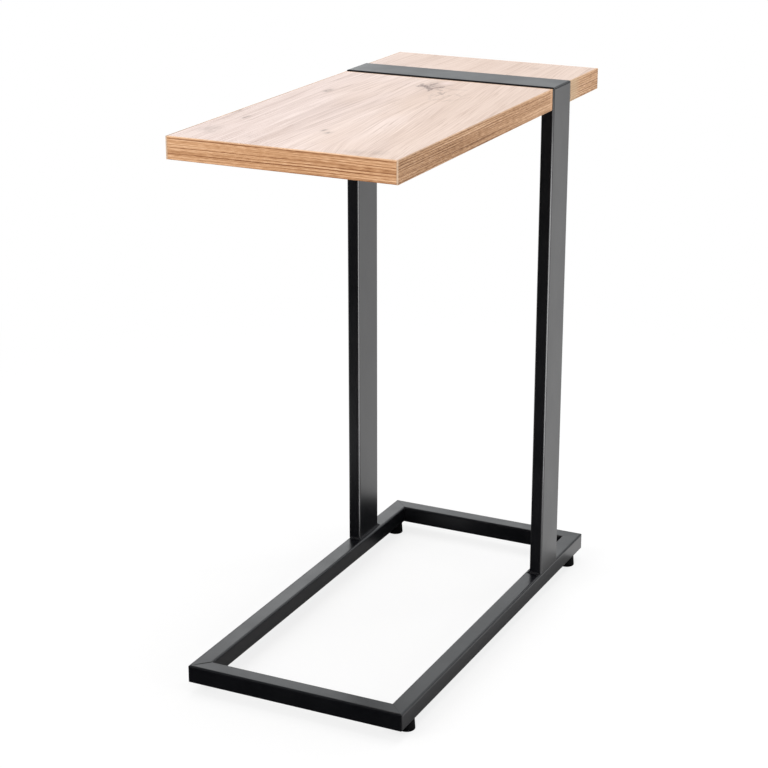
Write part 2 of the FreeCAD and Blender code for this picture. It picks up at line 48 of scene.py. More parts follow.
BOARD_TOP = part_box("front_panel_top_skin")[1].z
BOARD_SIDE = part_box("front_panel_top_skin")[1].x
FRONT_BOARD_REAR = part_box("front_panel_band_right")[1].y
REAR_BOARD_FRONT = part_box("rear_panel_band_right")[0].y
RING_LOW, RING_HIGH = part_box("base_front_tube")
RING_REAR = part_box("base_rear_tube")[1].y
RING_INNER_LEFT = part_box("base_left_tube")[1].x
RING_INNER_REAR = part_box("base_rear_tube")[0].y
CROSS_LOW, CROSS_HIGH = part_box("cross_tube")
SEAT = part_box("carrier_left")[0].z

MM = 1000.0


# ---------------------------------------------------------------- shader nodes

class Nodes:
    """Builds the nodes of one material or world; most calls return an output socket."""

    def __init__(self, owner):
        owner.use_nodes = True
        self.owner = owner
        self.tree = owner.node_tree
        self.tree.nodes.clear()

    def feed(self, socket, value):
        if isinstance(value, bpy.types.NodeSocket):
            self.tree.links.new(value, socket)
        else:
            socket.default_value = value

    def add(self, kind, inputs=None, **settings):
        node = self.tree.nodes.new(kind)
        for key, value in settings.items():
            setattr(node, key, value)
        for key, value in (inputs or {}).items():
            self.feed(node.inputs[key], value)
        return node

    def math(self, operation, a, b=0.0, clamp=False):
        node = self.add("ShaderNodeMath", {0: a, 1: b}, operation=operation, use_clamp=clamp)
        return node.outputs[0]

    def plus(self, a, b):
        return self.math("ADD", a, b)

    def minus(self, a, b, clamp=False):
        return self.math("SUBTRACT", a, b, clamp)

    def times(self, a, b, clamp=False):
        return self.math("MULTIPLY", a, b, clamp)

    def most(self, a, b):
        return self.math("MAXIMUM", a, b)

    def apart(self, a, b):
        return self.math("ABSOLUTE", self.minus(a, b))

    def bell(self, offset):
        """One where offset is zero, falling off to both sides."""
        return self.math("EXPONENT", self.times(self.times(offset, offset), -1.0))

    def vector(self, operation, a, b=(0, 0, 0), scale=None):
        inputs = {0: a, 1: b}
        if scale is not None:
            inputs["Scale"] = scale
        return self.add("ShaderNodeVectorMath", inputs, operation=operation).outputs[0]

    def dot(self, a, b):
        node = self.add("ShaderNodeVectorMath", {0: a, 1: b}, operation="DOT_PRODUCT")
        return node.outputs["Value"]

    def length(self, vector):
        node = self.add("ShaderNodeVectorMath", {0: vector}, operation="LENGTH")
        return node.outputs["Value"]

    def combine(self, x, y, z):
        return self.add("ShaderNodeCombineXYZ", {0: x, 1: y, 2: z}).outputs[0]

    def split(self, vector):
        return self.add("ShaderNodeSeparateXYZ", {0: vector}).outputs

    def position(self):
        """The point in the row frame, in millimetres."""
        coordinates = self.add("ShaderNodeTexCoord").outputs["Object"]
        return self.vector("SCALE", coordinates, scale=MM)

    def noise(self, vector, sizes, detail=3.0, roughness=0.55):
        """Noise whose grains measure sizes, in millimetres; the mean is a half."""
        stretched = self.vector("DIVIDE", vector, sizes)
        inputs = {"Vector": stretched, "Scale": 1.0, "Detail": detail, "Roughness": roughness}
        return self.add("ShaderNodeTexNoise", inputs).outputs[0]

    def waver(self, vector, sizes, reach, detail=2.0):
        """Noise about zero that swings through reach, from its lowest to its highest."""
        return self.times(self.minus(self.noise(vector, sizes, detail=detail), 0.5), reach)

    def range(self, value, low, high, to_low=0.0, to_high=1.0, smooth=True):
        """Maps low..high to to_low..to_high and clamps."""
        inputs = {0: value, 1: low, 2: high, 3: to_low, 4: to_high}
        kind = "SMOOTHSTEP" if smooth else "LINEAR"
        node = self.add("ShaderNodeMapRange", inputs, interpolation_type=kind, clamp=True)
        return node.outputs[0]

    def mix(self, factor, a, b):
        """Mixes two colours; 6, 7 and 2 are the colour sockets of the node."""
        node = self.add("ShaderNodeMix", {0: factor, 6: a, 7: b}, data_type="RGBA")
        return node.outputs[2]

    def mix_shaders(self, factor, a, b):
        return self.add("ShaderNodeMixShader", {0: factor, 1: a, 2: b}).outputs[0]

    def ramp(self, value, stops):
        node = self.add("ShaderNodeValToRGB", {0: value})
        elements = node.color_ramp.elements
        while len(elements) < len(stops):
            elements.new(0.5)
        for element, (place, colour) in zip(elements, stops):
            element.position = place
            element.color = (*colour, 1.0)
        return node.outputs[0]

    def bump(self, height, strength, distance):
        inputs = {"Height": height, "Strength": strength, "Distance": distance}
        return self.add("ShaderNodeBump", inputs).outputs[0]

    def finish(self, colour, roughness, normal, **sockets):
        """Ends in a Principled shader; sockets are plain values for its other inputs."""
        inputs = {"Base Color": colour, "Roughness": roughness, "Normal": normal}
        shader = self.add("ShaderNodeBsdfPrincipled", inputs)
        for key, value in sockets.items():
            self.feed(shader.inputs[key.replace("_", " ")], value)
        return self.end(shader.outputs[0])

    def end(self, surface, kind="ShaderNodeOutputMaterial"):
        output = self.add(kind)
        self.tree.links.new(surface, output.inputs[0])
        return self.owner


def new_material(name):
    return Nodes(bpy.data.materials.new(name))


MID_NOISE = (0.3, 0.7)     # nearly all values of a noise lie between these


# ---------------------------------------------------------------- oak decor of the boards

# Small marks of the printed oak: centre, half width, half length, depth of tone; millimetres.
MARKS = (
    (-90.0, 11.0, 3.4, 9.0, 0.95),
    (-99.0, -151.0, 2.4, 7.0, 0.90),
    (-123.0, -126.0, 4.0, 13.0, 0.75),
    (-104.0, -214.0, 10.0, 15.0, 0.40),
    (-96.0, -226.0, 6.0, 11.0, 0.34),
    (-48.0, -230.0, 7.0, 9.0, 0.20),
    (72.0, -250.0, 12.0, 9.0, 0.30),
    (94.0, -243.0, 8.0, 10.0, 0.34),
    (1.5, -174.0, 2.6, 5.0, 0.80),
    (10.5, -183.0, 3.0, 6.0, 0.70),
    (62.0, 230.0, 5.0, 9.0, 0.26),
)
MARK_GRAIN = (2.6, 9.0, 1.0)
MARK_EDGE = (0.34, 0.60, 0.25, 1.0)     # this span of the noise gives this span of a mark's depth
MARK_COLOUR = (0.20, 0.160, 0.140, 1.0)

# Strokes of the one large knot: from, to, half width, depth of tone; millimetres.
KNOT_STROKES = (
    ((-15.0, 88.0), (-10.0, 79.0), 2.2, 0.70),
    ((-13.0, 78.0), (-6.0, 80.0), 2.4, 0.85),
    ((-9.0, 81.0), (-2.0, 75.0), 2.3, 0.90),
    ((-2.0, 75.0), (7.0, 64.0), 2.2, 0.90),
    ((-2.0, 75.0), (-3.0, 90.0), 2.0, 0.80),
    ((-3.0, 90.0), (-2.0, 97.0), 2.4, 0.85),
    ((8.0, 57.0), (6.0, 71.0), 1.9, 0.85),
    ((6.0, 71.0), (8.0, 79.0), 1.6, 0.55),
    ((9.0, 75.0), (13.0, 82.0), 2.4, 0.85),
    ((13.0, 86.0), (18.0, 98.0), 0.9, 0.40),
    ((13.0, 67.0), (21.0, 63.0), 1.2, 0.45),
    ((22.0, 53.0), (30.0, 43.0), 1.3, 0.50),
    ((28.0, 45.0), (28.0, 57.0), 1.0, 0.42),
    ((27.0, 34.0), (29.0, 44.0), 1.2, 0.42),
    ((37.0, 31.0), (39.0, 41.0), 1.1, 0.36),
    ((35.0, 12.0), (38.0, 20.0), 1.6, 0.28),
    ((46.0, 9.0), (49.0, 19.0), 1.6, 0.26),
    ((18.0, 43.0), (29.0, 12.0), 1.4, 0.16),
    ((19.0, 78.0), (30.0, 73.0), 0.9, 0.26),
    ((30.0, 73.0), (43.0, 77.0), 0.9, 0.28),
    ((42.0, 51.0), (53.0, 41.0), 1.0, 0.20),
    ((53.0, 41.0), (55.0, 55.0), 1.0, 0.18),
    ((53.0, 14.0), (63.0, 40.0), 1.2, 0.16),
    ((-8.0, 83.0), (-7.0, 96.0), 0.9, 0.55),
    ((1.0, 71.0), (2.0, 84.0), 1.2, 0.80),
    ((4.0, 84.0), (6.0, 92.0), 0.8, 0.35),
    ((-9.0, 101.0), (-1.0, 109.0), 0.9, 0.26),
    ((20.0, 30.0), (24.0, 39.0), 1.2, 0.24),
)
SQUEEZE = 0.4               # strokes spread more along the grain than across it
STROKE_FADE = (0.3, 1.4)    # a stroke fades out between these shares of its half width
STROKE_WAVER = (4.0, 9.0, 1.0)
STROKE_REACH = 7.0
KNOT_GRAIN = (1.6, 4.5, 1.0)
KNOT_EDGE = (0.36, 0.54, 0.30, 1.0)
KNOT_COLOUR = (0.165, 0.125, 0.115, 1.0)
RAGGED = 0.65               # roughness of the noise that frays marks and knot

# Oval spots: centre, half width, half length; millimetres.
SMUDGE = (1.0, 82.0, 12.0, 18.0)        # darker wood round the heart of the knot
SMUDGE_SHARE = 0.34
PALE_PATCH = (8.0, 103.0, 7.0, 10.0)    # light wood beside the knot
PALE_SHARE = 0.55
PALE_COLOUR = (0.71, 0.585, 0.555, 1.0)
PARTED = (4.0, 78.0, 31.2, 57.6)        # the grain parts round the knot within this spot
PART_SHARE = 0.6                        # and is pushed aside by this share of its distance


def spot(n, x, y, centre_x, centre_y, half_width, half_length):
    """A soft oval spot, one at its centre."""
    dx = n.math("DIVIDE", n.minus(x, centre_x), half_width)
    dy = n.math("DIVIDE", n.minus(y, centre_y), half_length)
    square = n.plus(n.times(dx, dx), n.times(dy, dy))
    return n.math("EXPONENT", n.times(square, -1.0))


def knot_tone(n, x, y):
    """A split knot: ragged strokes at its heart and cracks that fan out of it."""
    flat_point = n.combine(x, y, 0.0)
    bent = n.plus(x, n.waver(flat_point, STROKE_WAVER, STROKE_REACH))
    point = n.combine(bent, n.times(y, SQUEEZE), 0.0)
    tone = 0.0
    for (from_x, from_y), (to_x, to_y), half, depth in KNOT_STROKES:
        start = (from_x, from_y * SQUEEZE, 0.0)
        run = (to_x - from_x, (to_y - from_y) * SQUEEZE, 0.0)
        square = run[0] ** 2 + run[1] ** 2
        offset = n.vector("SUBTRACT", point, start)
        share = n.times(n.dot(offset, run), 1.0 / square, clamp=True)
        off = n.length(n.vector("SUBTRACT", offset, n.vector("SCALE", run, scale=share)))
        fade_from, fade_to = (half * edge for edge in STROKE_FADE)
        tone = n.most(tone, n.range(off, fade_from, fade_to, depth, 0.0))
    tone = n.most(tone, n.times(spot(n, x, y, *SMUDGE), SMUDGE_SHARE))
    ragged = n.noise(flat_point, KNOT_GRAIN, roughness=RAGGED)
    return n.times(tone, n.range(ragged, *KNOT_EDGE))


def mark_tone(n, x, y):
    """The small marks, frayed along the grain."""
    tone = 0.0
    for *oval, depth in MARKS:
        tone = n.most(tone, n.times(spot(n, x, y, *oval), depth))
    ragged = n.noise(n.combine(x, y, 0.0), MARK_GRAIN, roughness=RAGGED)
    return n.times(tone, n.range(ragged, *MARK_EDGE))


def parted_grain(n, x, y):
    """The grain runs round the large knot."""
    push = n.times(n.minus(x, PARTED[0]), spot(n, x, y, *PARTED))
    return n.minus(x, n.times(push, PART_SHARE))


# Noises of the oak grain: size across, along and through the board, millimetres.
BROAD = (26, 420, 40)
STREAK = (1.5, 210, 20)
FIBRE = (0.62, 90, 10)
RIDGE = (9, 700, 40)
VEIN_PATCHES = (30, 130, 40)
PORES = (0.9, 17, 10)
GRAIN_WAVER = (110, 520, 60)
TONE_WAVER = (80, 170, 60)

GRAIN_REACH = 46.0          # how far the grain wavers across the board, millimetres
LEAN = 0.12                 # how far the grain of the right half turns from the long axis
LEAN_SIDE = (-30.0, 90.0)   # the lean sets in between these places across the board
BROAD_SHARE = 0.6           # what each noise gives to the tone of the grain
STREAK_SHARE = 0.9
FIBRE_SHARE = 0.9
GRAIN_SPAN = (0.90, 1.53)   # their sum runs from the darkest to the palest wood
VEIN_HALF = 0.016           # half width of a vein, as a step of the ridge noise
VEIN_SPAN = (0.42, 0.58)
VEIN_DEPTH = 0.50
PORE_SPAN = (0.62, 0.74)
PORE_SHARE = 0.17
PORE_COLOUR = (0.34, 0.24, 0.19, 1.0)
TONE_REACH = 260.0          # how far the border of the cool and the warm tone wavers, millimetres
TURN = 0.30                 # how far this border turns from the long axis
WARM_SIDE = (-110.0, 55.0)  # the tone turns from the paler, cooler one to the warmer one between these places across the board
WARM_OAK = (
    (0.0, (0.465, 0.350, 0.290)),
    (0.35, (0.555, 0.438, 0.375)),
    (0.62, (0.610, 0.490, 0.425)),
    (1.0, (0.660, 0.545, 0.480)),
)
COOL_OAK = (
    (0.0, (0.420, 0.325, 0.290)),
    (0.35, (0.560, 0.455, 0.415)),
    (0.62, (0.645, 0.540, 0.500)),
    (1.0, (0.750, 0.650, 0.615)),
)
STREAK_HEIGHT = 0.5
OAK_RELIEF = (0.18, 0.00025)    # strength and height of the bump, the height in metres
OAK_ROUGHNESS = (0.52, 0.62)


def oak_face(name, with_knots):
    """Pale brushed oak with the grain along Y, paler and cooler to the left and warmer to the right."""
    n = new_material(name)
    point = n.position()
    x, y, _ = n.split(point)

    across = parted_grain(n, x, y) if with_knots else x
    across = n.plus(across, n.waver(point, GRAIN_WAVER, GRAIN_REACH))
    lean = n.times(n.times(n.range(x, *LEAN_SIDE), y), LEAN)
    grain = n.combine(n.plus(across, lean), y, 0.0)

    streak = n.noise(grain, STREAK, detail=2.0)
    level = n.times(n.noise(grain, BROAD, detail=2.0), BROAD_SHARE)
    level = n.plus(level, n.times(streak, STREAK_SHARE))
    level = n.plus(level, n.times(n.noise(grain, FIBRE, detail=1.0, roughness=0.6), FIBRE_SHARE))
    level = n.range(level, *GRAIN_SPAN, smooth=False)
    veins = n.range(n.apart(n.noise(grain, RIDGE), 0.5), 0.0, VEIN_HALF, 1.0, 0.0)
    veins = n.times(veins, n.range(n.noise(grain, VEIN_PATCHES, detail=1.0), *VEIN_SPAN))
    level = n.minus(level, n.times(veins, VEIN_DEPTH), clamp=True)

    border = n.plus(x, n.waver(point, TONE_WAVER, TONE_REACH))
    border = n.plus(border, n.times(y, TURN))
    side = n.range(border, *WARM_SIDE)
    colour = n.mix(side, n.ramp(level, COOL_OAK), n.ramp(level, WARM_OAK))
    pores = n.range(n.noise(grain, PORES, detail=1.0), *PORE_SPAN)
    colour = n.mix(n.times(pores, PORE_SHARE), colour, PORE_COLOUR)
    if with_knots:
        patch = n.times(spot(n, x, y, *PALE_PATCH), PALE_SHARE)
        colour = n.mix(patch, colour, PALE_COLOUR)
        colour = n.mix(mark_tone(n, x, y), colour, MARK_COLOUR)
        colour = n.mix(knot_tone(n, x, y), colour, KNOT_COLOUR)

    normal = n.bump(n.minus(n.times(streak, STREAK_HEIGHT), pores), *OAK_RELIEF)
    roughness = n.range(streak, *MID_NOISE, *OAK_ROUGHNESS)
    return n.finish(colour, roughness, normal, Specular_IOR_Level=0.3)


# ---------------------------------------------------------------- edge bands of the boards

# Bands that run along X lie at the front and rear of a board, those along Y at its sides.
BAND_TONES = {
    "x": ((0.0, (0.210, 0.080, 0.030)), (0.35, (0.400, 0.195, 0.088)),
          (0.65, (0.575, 0.320, 0.168)), (1.0, (0.760, 0.490, 0.300))),
    # The Y tones are the X tones darkened by about a quarter: painted shade on the side faces.
    "y": ((0.0, (0.160, 0.073, 0.031)), (0.35, (0.295, 0.155, 0.075)),
          (0.65, (0.425, 0.241, 0.128)), (1.0, (0.590, 0.378, 0.234))),
}
# Dark year lines of the bands: depth below the top, half width, strength; millimetres.
YEAR_LINES = {
    "x": (
        (1.7, 0.50, 0.95),
        (4.6, 0.30, 0.35),
        (7.4, 0.35, 0.45),
        (10.2, 0.42, 0.75),
        (13.2, 0.42, 0.75),
        (16.4, 0.50, 1.00),
        (19.2, 0.35, 0.40),
        (22.6, 0.80, 0.60),
    ),
    "y": (
        (0.6, 0.70, 0.45),
        (3.4, 0.40, 0.55),
        (6.0, 0.40, 0.80),
        (8.6, 0.40, 0.60),
        (11.2, 0.40, 0.75),
        (13.8, 0.40, 0.60),
        (16.4, 0.40, 0.75),
        (19.0, 0.40, 0.50),
        (21.6, 0.50, 0.65),
    ),
}
LINE_DEPTH = {"x": 0.68, "y": 0.85}     # how far the year lines sink below the tone around them
# The year lines of the X bands calm along their run: from, to, share at the start, share at the end.
CALM = (-40.0, 60.0, 1.0, 0.56)
# Painted light and shade along a band's run, brighter towards the rear of the side bands and towards
# the left of the front and rear bands: from, to, added at the start, added at the end.
BAND_PAINTED_LIGHT = {"x": (-125.0, 60.0, 0.065, -0.08), "y": (-200.0, 260.0, -0.02, 0.18)}

# Noises of the bands: size along the run, from side to side and downwards, millimetres.
BAND_WAVER = (190, 20, 60)
BAND_REACH = 2.6            # how far the year lines waver up and down, millimetres
OTHER_SIDE = 40.0           # the two sides of a board waver as if this far from the middle
BREAKS = (60, 1, 1.6)
BREAK_EDGE = (0.30, 0.60, 0.35, 1.0)
FINE_LINES = (210, 1, 1.2)
DASHES = (9.0, 1, 0.9)
FINE_SHARE = 0.9
DASH_SHARE = {"x": 0.45, "y": 0.60}
BAND_DARKEST = {"x": 0.345, "y": 0.42}
BAND_SPAN = 0.54

ARRIS = 0.8                 # height of the painted highlight along the top arris of a band, millimetres
ARRIS_HIGHLIGHT_SHARE = {"x": 0.42, "y": 0.30}
# Pale cream of the end grain, also used for the painted highlights on the arris and the rounded
# corners.
PALE_GRAIN_AND_HIGHLIGHT = (0.70, 0.53, 0.39, 1.0)
CUT_AND_HIGHLIGHT_SPAN = (0.55, 0.80)     # how far a face has to turn to the front or rear to show pale end grain with a painted highlight
CUT_AND_HIGHLIGHT_SHARE = 0.58

JOINT_SHADE = 0.35          # half width of the dark joint beside a side band's end, millimetres
JOINT_SHARE = 0.55
JOINT_COLOUR = (0.16, 0.08, 0.04, 1.0)

BARE_END = 7.0              # length of plain edging at the rear end of the front board's side bands
BARE_FADE = 1.5
BARE_SHARE = 0.6
BARE_COLOUR = (0.56, 0.325, 0.185, 1.0)
PLAIN_FADE = (10.0, 34.0)   # plain wood at the front end of the rear board's side bands fades here
PLAIN_SHARE = 0.7
PLAIN_COLOUR = (0.45, 0.320, 0.20, 1.0)
SLOT = 1.0                  # this far behind the front board lies the slot between the boards

BAND_RELIEF = (0.25, 0.0002)
BAND_ROUGHNESS = (0.62, 0.52)


def year_lines(n, along, run, below, grain):
    """Shade of the dark year lines, broken here and there."""
    shade = 0.0
    for depth, half, strength in YEAR_LINES[along]:
        line = n.bell(n.math("DIVIDE", n.minus(below, depth), half))
        shade = n.plus(shade, n.times(line, strength))
    if along == "x":
        shade = n.times(shade, n.range(run, *CALM))
    breaks = n.range(n.noise(grain, BREAKS, detail=2.0), *BREAK_EDGE)
    return n.times(shade, breaks)


def side_band_ends(n, y, colour):
    """Plain edging beside the slot, and pale end grain with a painted highlight on faces turned to the
    front or rear.
    """
    rear = FRONT_BOARD_REAR * MM
    slot = rear + SLOT
    bare_from = rear - BARE_END
    bare = n.range(y, bare_from - BARE_FADE, bare_from + BARE_FADE, 0.0, BARE_SHARE)
    bare = n.times(bare, n.math("LESS_THAN", y, slot))
    colour = n.mix(bare, colour, BARE_COLOUR)
    fade_from, fade_to = (REAR_BOARD_FRONT * MM + place for place in PLAIN_FADE)
    plain = n.range(y, fade_from, fade_to, PLAIN_SHARE, 0.0)
    plain = n.times(plain, n.math("GREATER_THAN", y, slot))
    colour = n.mix(plain, colour, PLAIN_COLOUR)
    # Faces turned to the front or rear turn cream: end grain, and a painted highlight on the rounded
    # corners.
    facing = n.split(n.add("ShaderNodeNewGeometry").outputs["Normal"])[1]
    end_grain_and_highlight = n.range(n.math("ABSOLUTE", facing), *CUT_AND_HIGHLIGHT_SPAN)
    return n.mix(n.times(end_grain_and_highlight, CUT_AND_HIGHLIGHT_SHARE), colour, PALE_GRAIN_AND_HIGHLIGHT)


def front_band_joints(n, x, colour):
    """A dark line where a side band ends beside the front or rear band."""
    inside = n.minus(BOARD_SIDE * MM, n.math("ABSOLUTE", x))
    joint = n.range(inside, 0.0, JOINT_SHADE, 1.0, 0.0)
    return n.mix(n.times(joint, JOINT_SHARE), colour, JOINT_COLOUR)


def oak_band(name, along):
    """Edge band: straight year lines along one axis, a painted highlight along the arris on top, and
    painted light and shade along its run; the side bands' tones carry painted shade.
    """
    n = new_material(name)
    x, y, z = n.split(n.position())
    run, other = (x, y) if along == "x" else (y, x)
    which_side = n.math("SIGN", other)
    below = n.minus(BOARD_TOP * MM, z)
    place = n.combine(run, n.times(which_side, OTHER_SIDE), below)
    below = n.plus(below, n.waver(place, BAND_WAVER, BAND_REACH, detail=1.0))
    grain = n.combine(run, which_side, below)

    level = n.times(n.noise(grain, FINE_LINES, detail=1.0, roughness=0.5), FINE_SHARE)
    level = n.plus(level, n.times(n.noise(grain, DASHES, detail=1.0), DASH_SHARE[along]))
    darkest = BAND_DARKEST[along]
    level = n.range(level, darkest, darkest + BAND_SPAN, smooth=False)
    shade = year_lines(n, along, run, below, grain)
    level = n.minus(level, n.times(shade, LINE_DEPTH[along]))
    # Painted light and shade along the run of the band.
    level = n.plus(level, n.range(run, *BAND_PAINTED_LIGHT[along]))

    colour = n.ramp(level, BAND_TONES[along])
    # Painted highlight along the rounded top arris.
    arris = n.range(z, BOARD_TOP * MM - ARRIS, BOARD_TOP * MM - ARRIS * 0.5)
    colour = n.mix(n.times(arris, ARRIS_HIGHLIGHT_SHARE[along]), colour, PALE_GRAIN_AND_HIGHLIGHT)
    if along == "y":
        colour = side_band_ends(n, y, colour)
    else:
        colour = front_band_joints(n, x, colour)
    roughness = n.range(level, 0.0, 1.0, *BAND_ROUGHNESS)
    return n.finish(colour, roughness, n.bump(level, *BAND_RELIEF), Specular_IOR_Level=0.25)


CHIP = (2.4, 2.4, 0.9)      # size of a wood chip, millimetres
CHIP_TONES = (
    (0.0, (0.36, 0.25, 0.15)),
    (0.5, (0.58, 0.44, 0.29)),
    (1.0, (0.72, 0.58, 0.41)),
)
CHIP_RELIEF = (0.5, 0.0004)
CHIP_ROUGHNESS = 0.8


def particle_board():
    """Pressed wood chips, pale and brown, of mixed size."""
    n = new_material("particle_board")
    stretched = n.vector("DIVIDE", n.position(), CHIP)
    cells = n.add("ShaderNodeTexVoronoi", {"Vector": stretched, "Scale": 1.0}).outputs
    colour = n.ramp(n.split(cells["Color"])[0], CHIP_TONES)
    return n.finish(colour, CHIP_ROUGHNESS, n.bump(cells["Distance"], *CHIP_RELIEF))


# ---------------------------------------------------------------- coated steel, zinc and plastic

# Sizes of noises are in millimetres; a relief is the strength and the height of a bump.
COAT_INDEX = 1.66           # index of refraction, which sets how strongly the coat mirrors
COAT_CLOUD = (38, 38, 60)
COAT_TONES = ((0.3, (0.0024, 0.0025, 0.0036)), (0.7, (0.0036, 0.0037, 0.0050)))
COAT_ROUGHNESS = (0.28, 0.33)
ORANGE_PEEL = (0.6, 0.6, 0.6)
COAT_RELIEF = (0.08, 0.0002)

SEAM = 0.35                 # half width of a mitre line that shows through the coat, millimetres
OPEN_SEAM = 1.60            # half width of the mitre line that is open at its inner end
OPEN_FROM = (0.12, 0.50)    # it opens between these shares of the tube's width
FILLED = 0.45               # depth of the filled mitre lines beside the open one
SEAM_CORE = 0.3             # share of a seam's half width that has its full depth
SEAM_SHARE = 0.7
SEAM_ROUGHNESS = 0.60
SEAM_HEIGHT = 60.0          # depth of a seam in heights of the orange peel
SEAM_COLOUR = (0.0005, 0.0005, 0.0005, 1.0)


def seam_line(n, near_side, near_end, depth, half=SEAM):
    """One along the diagonal of a mitred corner, within depth of both outer sides."""
    line = n.range(n.math("DIVIDE", n.apart(near_side, near_end), half), SEAM_CORE, 1.0, 1.0, 0.0)
    return n.times(line, n.math("LESS_THAN", n.most(near_side, near_end), depth))


def ring_corner(n, side, place):
    """The front left mitre is open at its inner end; the other three are filled and ground."""
    x, y, _ = place
    front = n.minus(y, RING_LOW.y * MM)
    rear = n.minus(RING_REAR * MM, y)
    depth = (RING_HIGH.z - RING_LOW.z) * MM
    filled = n.times(seam_line(n, side, n.math("MINIMUM", front, rear), depth), FILLED)
    open_from, open_to = (depth * share for share in OPEN_FROM)
    inner_end = n.times(n.range(side, open_from, open_to), n.math("LESS_THAN", x, 0.0))
    opened = n.times(seam_line(n, side, front, depth, OPEN_SEAM), inner_end)
    return n.most(filled, opened)


def frame_corner(n, side, place):
    """The mitres where the cross tube meets the uprights."""
    z = place[2]
    return seam_line(n, side, n.minus(CROSS_HIGH.z * MM, z), (CROSS_HIGH.z - CROSS_LOW.z) * MM)


def powder_coat(name, corner):
    """Satin black powder coat with a fine orange peel; corner gives its mitre seam."""
    n = new_material(name)
    point = n.position()
    place = n.split(point)
    side = n.minus(RING_HIGH.x * MM, n.math("ABSOLUTE", place[0]))
    seam = corner(n, side, place)
    cloud = n.noise(point, COAT_CLOUD, detail=2.0)
    colour = n.mix(n.times(seam, SEAM_SHARE), n.ramp(cloud, COAT_TONES), SEAM_COLOUR)
    roughness = n.range(cloud, *MID_NOISE, *COAT_ROUGHNESS)
    roughness = n.plus(roughness, n.times(seam, SEAM_ROUGHNESS))
    height = n.minus(n.noise(point, ORANGE_PEEL, detail=1.0), n.times(seam, SEAM_HEIGHT))
    return n.finish(colour, roughness, n.bump(height, *COAT_RELIEF), IOR=COAT_INDEX)


BEAD_TONES = ((0.0, (0.003, 0.003, 0.004)), (1.0, (0.006, 0.006, 0.008)))
BEAD_RIPPLE = {"Scale": 0.42, "Distortion": 2.0, "Detail": 2.0}
BEAD_RELIEF = (0.4, 0.0003)
BEAD_ROUGHNESS = 0.55


def weld_bead():
    """Coated weld metal with the ripples of its run."""
    n = new_material("weld_bead")
    inputs = {"Vector": n.position(), **BEAD_RIPPLE}
    wave = n.add("ShaderNodeTexWave", inputs, bands_direction="DIAGONAL")
    ripple = wave.outputs["Fac"]
    colour = n.ramp(ripple, BEAD_TONES)
    return n.finish(colour, BEAD_ROUGHNESS, n.bump(ripple, *BEAD_RELIEF))


ZINC_CLOUD = (3.0, 3.0, 3.0)
ZINC_TONES = ((0.3, (0.46, 0.46, 0.47)), (0.7, (0.66, 0.66, 0.64)))
ZINC_ROUGHNESS = (0.28, 0.42)
ZINC_RELIEF = (0.1, 0.0002)


def zinc():
    """Bright zinc plating, a little cloudy."""
    n = new_material("zinc_plate")
    cloud = n.noise(n.position(), ZINC_CLOUD)
    roughness = n.range(cloud, *MID_NOISE, *ZINC_ROUGHNESS)
    normal = n.bump(cloud, *ZINC_RELIEF)
    return n.finish(n.ramp(cloud, ZINC_TONES), roughness, normal, Metallic=1.0)


SPARK_GRAIN = (0.30, 0.30, 0.30)
SCUFF = (4.0, 4.0, 2.0)
PLASTIC_TONES = ((0.3, (0.0018, 0.0018, 0.0021)), (0.7, (0.0035, 0.0035, 0.0040)))
PLASTIC_ROUGHNESS = (0.50, 0.62)
PLASTIC_RELIEF = (0.25, 0.0001)


def moulded_plastic():
    """Black moulded plastic with a fine spark-eroded grain."""
    n = new_material("glide_plastic")
    point = n.position()
    scuff = n.noise(point, SCUFF, detail=2.0)
    roughness = n.range(scuff, *MID_NOISE, *PLASTIC_ROUGHNESS)
    normal = n.bump(n.noise(point, SPARK_GRAIN, detail=2.0), *PLASTIC_RELIEF)
    return n.finish(n.ramp(scuff, PLASTIC_TONES), roughness, normal, Specular_IOR_Level=0.12)


ring_coat = powder_coat("ring_powder_coat", ring_corner)
frame_coat = powder_coat("frame_powder_coat", frame_corner)
top_decor = oak_face("oak_decor_top", True)
under_decor = oak_face("oak_decor_under", False)
front_band = oak_band("oak_band_front", "x")
side_band = oak_band("oak_band_side", "y")
chips = particle_board()
bead = weld_bead()
plate = zinc()
plastic = moulded_plastic()

# The first part that a node's name contains gives its finish.
FINISHES = (
    ("_top_skin", top_decor),
    ("_bottom_skin", under_decor),
    ("_core", chips),
    ("_band_left", side_band),
    ("_band_right", side_band),
    ("_band_front", front_band),
    ("_band_rear", front_band),
    ("weld_", bead),
    ("_screws", plate),
    ("foot_inserts", plate),
    ("foot_stud_", plate),
    ("foot_", plastic),
    ("base_", ring_coat),
    ("upright_", frame_coat),
    ("cross_tube", frame_coat),
    ("carrier_", frame_coat),
)
for name, node in nodes.items():
    finish = next(material for part, material in FINISHES if part in name)
    for slot in node.material_slots:
        slot.material = finish


# ---------------------------------------------------------------- turned and threaded pieces

def round_about(radius, step, steps):
    """The place of one step round a circle."""
    angle = 2 * math.pi * step / steps
    return radius * math.cos(angle), radius * math.sin(angle)


def tube_faces(first, second, steps):
    """Faces between two rings of vertices that start at first and second."""
    faces = []
    for step in range(steps):
        following = (step + 1) % steps
        faces.append((first + step, first + following, second + following, second + step))
    return faces


def mesh_piece(name, verts, faces, place, material, smooth_angle=35.0):
    mesh = bpy.data.meshes.new(name)
    mesh.from_pydata(verts, [], faces)
    mesh.validate()
    mesh.update()
    piece = bpy.data.objects.new(name, mesh)
    scene.collection.objects.link(piece)
    mesh.materials.append(material)
    mesh.shade_smooth()
    mesh.set_sharp_from_angle(angle=math.radians(smooth_angle))
    piece.location = place
    return piece


TURNED_SIDES = 64


